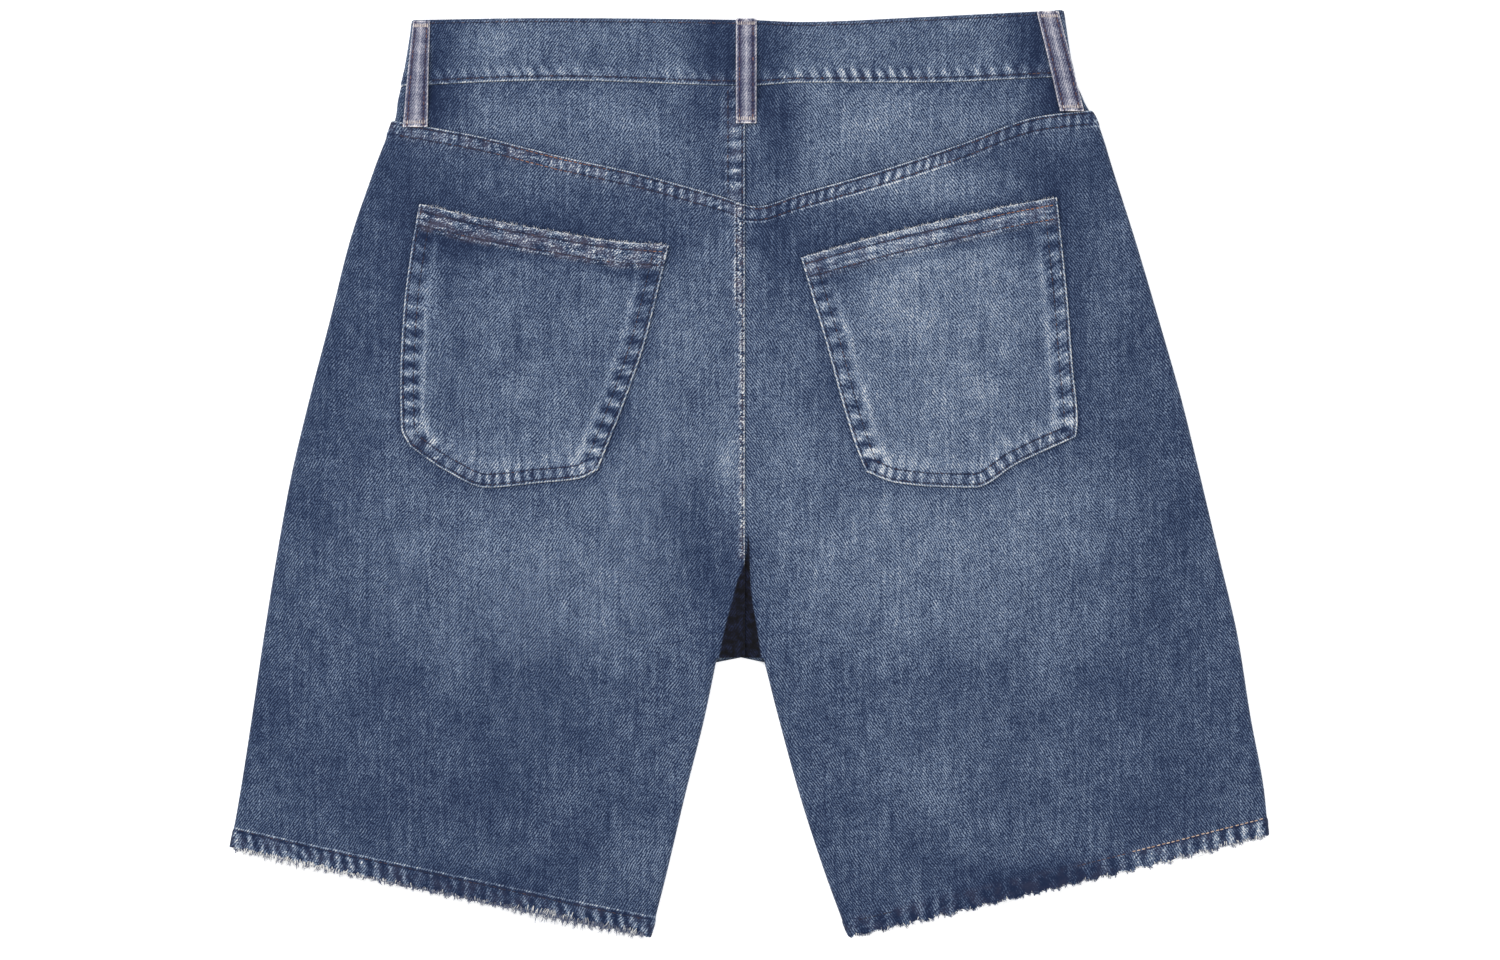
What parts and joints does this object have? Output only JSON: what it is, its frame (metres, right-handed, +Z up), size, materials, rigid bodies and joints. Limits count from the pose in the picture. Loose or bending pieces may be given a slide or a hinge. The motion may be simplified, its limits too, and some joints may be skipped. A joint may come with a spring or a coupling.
{
  "type": "denim shorts",
  "caption": "Five-pocket denim shorts laid flat with the back up: frayed raw hems, lapped yoke and seat seams, patch pockets, waistband and belt loops.",
  "frame": {"origin": "middle of the shorts' bounding box on the surface that they lie on", "axes": "+Z up, out of the garment's back; +X to the wearer's right, which is the right of a view from above; +Y from the hems to the waist"},
  "size_m": [0.6557, 0.5916, 0.0185],
  "materials": {
    "denim": "washed indigo twill, matt",
    "denim_front": "washed indigo twill, matt, less faded",
    "loop_denim": "faded grey denim, matt",
    "frayed_thread": "loose white and blue cotton thread",
    "button_metal": "aged, satin"
  },
  "bodies": {
    "root": {"front_left": "denim_front", "front_right": "denim_front", "hip_facing_left": "denim_front", "hip_facing_right": "denim_front", "back_left": "denim", "back_right": "denim", "yoke_left": "denim", "yoke_right": "denim", "waistband": "denim", "pocket_left": "denim", "pocket_right": "denim", "belt_loop_centre": "loop_denim", "belt_loop_left": "loop_denim", "belt_loop_right": "loop_denim", "belt_loop_front_left": "loop_denim", "belt_loop_front_right": "loop_denim", "waist_button": "button_metal", "fringe_back_left": "frayed_thread", "fringe_back_right": "frayed_thread", "fringe_front_left": "frayed_thread", "fringe_front_right": "frayed_thread"}
  },
  "joints": []
}
